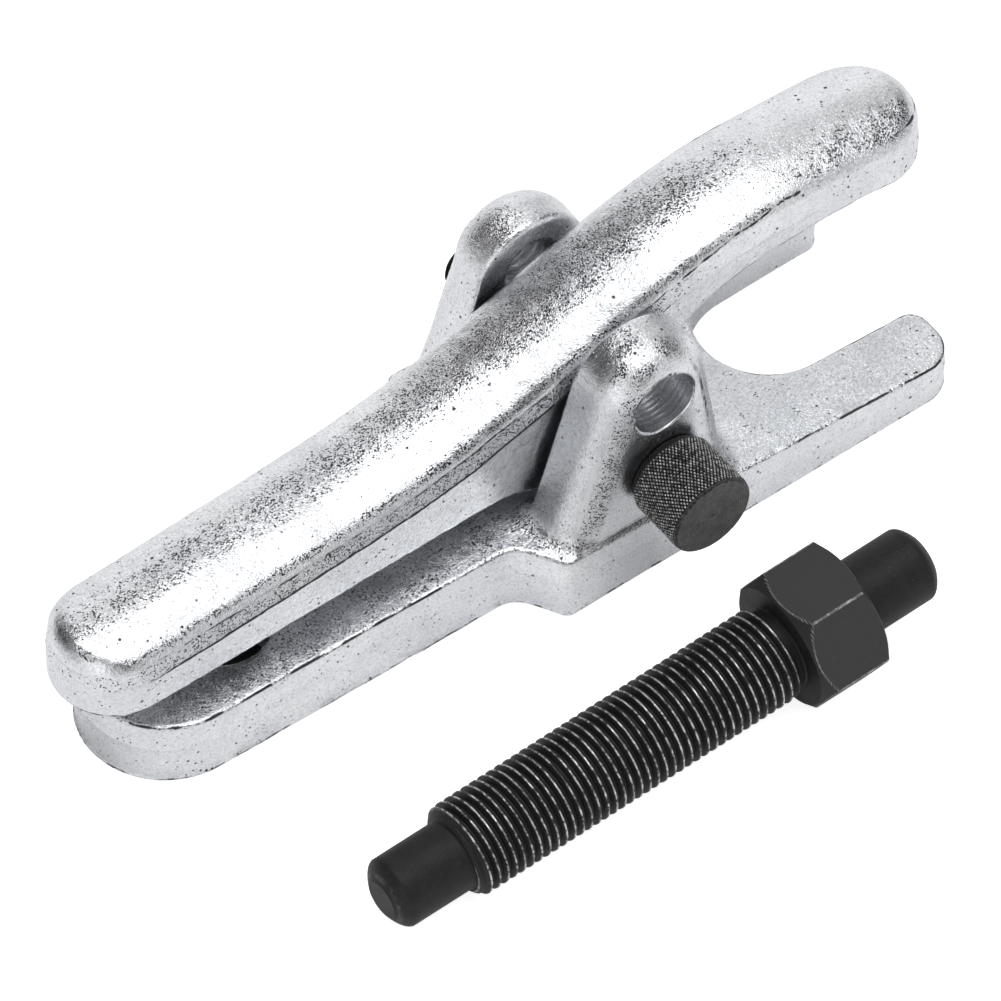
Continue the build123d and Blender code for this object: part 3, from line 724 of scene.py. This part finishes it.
def prow(y, r, w=0.0, g=0.0):
    rows.append((y, r))
    wear.append(w)
    ring.append(g)


# plain shank, then the M12 x 1.75 end
prow(y_seat - 0.4, 6.0)
prow(y_seat + 0.0, 6.0)
prow(y_seat + 0.0, 6.92)
for y in np.arange(y_seat + 1.5, 13.4, 1.5):
    prow(y, 6.92, 0.02)
prow(13.55, 6.92, 0.1)
prow(14.0, 6.55, 0.2)
prow(14.2, 6.2)
prow(14.2, 5.0)
prow(15.2, 4.95)
th = np.arange(72) * 2 * math.pi / 72
for y in np.arange(15.3, 35.1, 0.0875):
    r = thread_radius(y, th, 5.93, 1, 1.0, 0.11, P12)
    r = np.minimum(r, 4.95 + (y - 15.3) * 1.2)
    r = np.minimum(r, 5.93 - max(0.0, y - 34.2) * 1.0)
    prow(y, r, 0.55 * smooth(r, 5.93 - 0.16, 5.93 - 0.02))
prow(35.13, 4.85, 0.2)
prow(35.18, 4.6)
prow(35.18, 3.0)
prow(35.18, 1.0)
shank = lathe("pivot_pin_shank", rows, 72, (0, 0, PIN_Z), (0, 1, 0), (0, 0, 1), (1, 0, 0), black_pin,
              {"wear": wear, "ring": ring}, angle=24.0)
# knurled head: smooth shoulder at the ear, diamond knurl, chamfered free end
NK = 72
NT = NK * 8
th = np.arange(NT) * 2 * math.pi / NT
rows, wear, ring = [], [], []
prow(y_seat, 6.9)
prow(y_seat, 7.85)
prow(y_seat - 0.12, 8.02, 0.10)
prow(y_seat - 1.0, 8.55)
prow(y_seat - 1.7, 8.88, 0.05)
k0, k1 = y_seat - 1.75, y_head + 0.52
for y in np.linspace(k0, k1, 130):
    fade = float(smooth(min(k0 - y, y - k1), -0.02, 0.45))
    ua = NK * th / (2 * math.pi) + y / 1.15
    ub = NK * th / (2 * math.pi) - y / 1.15
    da = np.abs((ua % 1.0) - 0.5) * 2
    db = np.abs((ub % 1.0) - 0.5) * 2
    hh = np.minimum(1 - da, 1 - db)
    hh = smooth(hh, 0.02, 0.62)
    r = HEAD_R - 0.05 - 0.34 * (1 - hh) * fade - 0.22 * (1 - fade)
    prow(y, r, 1.15 * smooth(hh, 0.76, 0.98) * fade)
prow(y_head + 0.48, 9.02, 0.28)
prow(y_head + 0.38, 8.98, 0.06)
prow(y_head + 0.08, 8.66, 0.06)
prow(y_head + 0.02, 8.58, 0.30)
prow(y_head, 8.45, 0.12)
rows_n = [(-y, r) for y, r in rows]
head = lathe("pivot_pin_knurled_head", rows_n, NT, (0, 0, PIN_Z), (0, -1, 0), (0, 0, 1), (-1, 0, 0), black_pin,
             {"wear": wear, "ring": ring}, close_ends=False, angle=75.0)
# turned end face with its centre pip
rows, wear, ring = [], [], []
for r in np.linspace(8.47, 0.9, 46):
    prow(-(y_head) - 0.012 * (1 + math.sin(r * 2 * math.pi / 1.3)), r, 0.05, r)
prow(-(y_head) - 0.05, 0.8, 0.2, 0.8)
prow(-(y_head) - 0.35, 0.45, 0.0, 0.4)
prow(-(y_head) - 0.40, 0.1, 0.0, 0.1)
face = lathe("pivot_pin_turned_face", rows, 96, (0, 0, PIN_Z), (0, -1, 0), (0, 0, 1), (-1, 0, 0), black_face,
             {"wear": wear, "ring": ring}, close_ends=False)
for o in (shank, head, face):
    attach(o, "pin")
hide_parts("pivot_pin")

# ================================================================ stage
me = bpy.data.meshes.new("floor")
me.from_pydata([(-30, -30, 0), (30, -30, 0), (30, 30, 0), (-30, 30, 0)], [], [(0, 1, 2, 3)])
floor = bpy.data.objects.new("floor", me)
scene.collection.objects.link(floor)
fm, ft, fb, fv = new_material("pale_floor")
fb.inputs["Base Color"].default_value = (0.93, 0.93, 0.935, 1)
fb.inputs["Roughness"].default_value = 0.9
fb.inputs["Specular IOR Level"].default_value = 0.1
fb.inputs["Emission Color"].default_value = (1, 1, 1, 1)
path = ft.add("ShaderNodeLightPath")
sep_f = ft.add("ShaderNodeSeparateXYZ")
ft.link(fv, sep_f.inputs[0])
hx = ft.math("ADD", sep_f.outputs[0], -SCREW_HOLE_X * MM)
dist = ft.math("SQRT", ft.math("ADD", ft.math("MULTIPLY", hx, hx), ft.math("MULTIPLY", sep_f.outputs[1], sep_f.outputs[1])))
shown = ft.ramp(ft.math("MULTIPLY", dist, 40.0), [(0.42, 0.0), (0.45, 1.0)])      # no fill light inside the tail hole
level = ft.mixf(path.outputs["Is Camera Ray"], 0.16, 0.80)
ft.link(ft.math("MULTIPLY", shown, level), fb.inputs["Emission Strength"])
# painted shade: the floor's colour is darkened inside the tail hole
ft.link(ft.mix(shown, (0.13, 0.13, 0.13), (0.93, 0.93, 0.935)), fb.inputs["Base Color"])
me.materials.append(fm)
floor.location = (0, 0, -0.00002)

world = bpy.data.worlds.new("studio")
scene.world = world
world.use_nodes = True
w = Tree(world.node_tree)
wout = w.add("ShaderNodeOutputWorld")
bg = w.add("ShaderNodeBackground")
w.link(bg.outputs[0], wout.inputs["Surface"])
tc = w.add("ShaderNodeTexCoord")
dirv = w.add("ShaderNodeVectorMath", operation="NORMALIZE")
w.link(tc.outputs["Generated"], dirv.inputs[0])
sep = w.add("ShaderNodeSeparateXYZ")
w.link(dirv.outputs[0], sep.inputs[0])


col = w.ramp(sep.outputs["Z"], [(0.0, 0.78), (0.2, 0.66), (0.6, 0.60), (0.85, 0.75), (1.0, 0.9)])
for az, el, r_in, r_out, level, amount in (
        (-60, 25, 12, 30, 1.25, 1.0),     # low fill panel beside the tool's near side
        (66, 18, 18, 40, 1.40, 1.0),      # backdrop
        (-143, 23, 13, 32, 1.75, 1.0),    # fill panel behind the camera
        (-100, 31, 13, 28, 0.03, 0.97),   # the dark of the room between the panels
        (-172, 50, 8, 18, 0.20, 0.80),
        (-14, 32, 12, 28, 0.05, 0.93),
        (122, 28, 18, 40, 0.04, 0.93),
        (100, 55, 8, 20, 0.15, 0.80),
        (-55, 69, 8, 20, 3.2, 1.0),       # edge of the overhead softbox
        (20, 88, 14, 23, 4.4, 1.0)):      # overhead softbox
    f = w.math("MULTIPLY", lobe(w, dirv.outputs[0], toward(az, el), r_in, r_out), amount)
    col = w.mix(f, col, (level, level, level * 1.01))
seen = w.add("ShaderNodeLightPath").outputs["Is Camera Ray"]
col = w.mix(seen, col, (1.27, 1.27, 1.275))         # the pale wall behind the floor
w.link(col, bg.inputs["Color"])
bg.inputs["Strength"].default_value = 0.75

# ================================================================ camera
A, EL = math.radians(-37.0), math.radians(52.0)
R = Vector((math.cos(A), math.sin(A), 0.0))
B = Vector((math.sin(A) * math.cos(EL), -math.cos(A) * math.cos(EL), math.sin(EL)))
U = B.cross(R)
PX = 5.2e3                  # image columns per metre at the object
DIST = 8.0
cx, cy = 500.5, 500.5
target = R * ((cx - 576.2) / PX) + U * ((464.5 - cy) / PX)
cam_data = bpy.data.cameras.new("camera")
cam = bpy.data.objects.new("camera", cam_data)
scene.collection.objects.link(cam)
cam_data.sensor_width = 36.0
cam_data.lens = 36.0 * DIST / (1001 / PX)
cam_data.clip_start, cam_data.clip_end = 0.5, 60
cam.location = target + B * DIST
cam.rotation_mode = "QUATERNION"
cam.rotation_quaternion = (-B).to_track_quat("-Z", "Y")
scene.camera = cam
scene.view_settings.view_transform = "Standard"
scene.view_settings.look = "None"
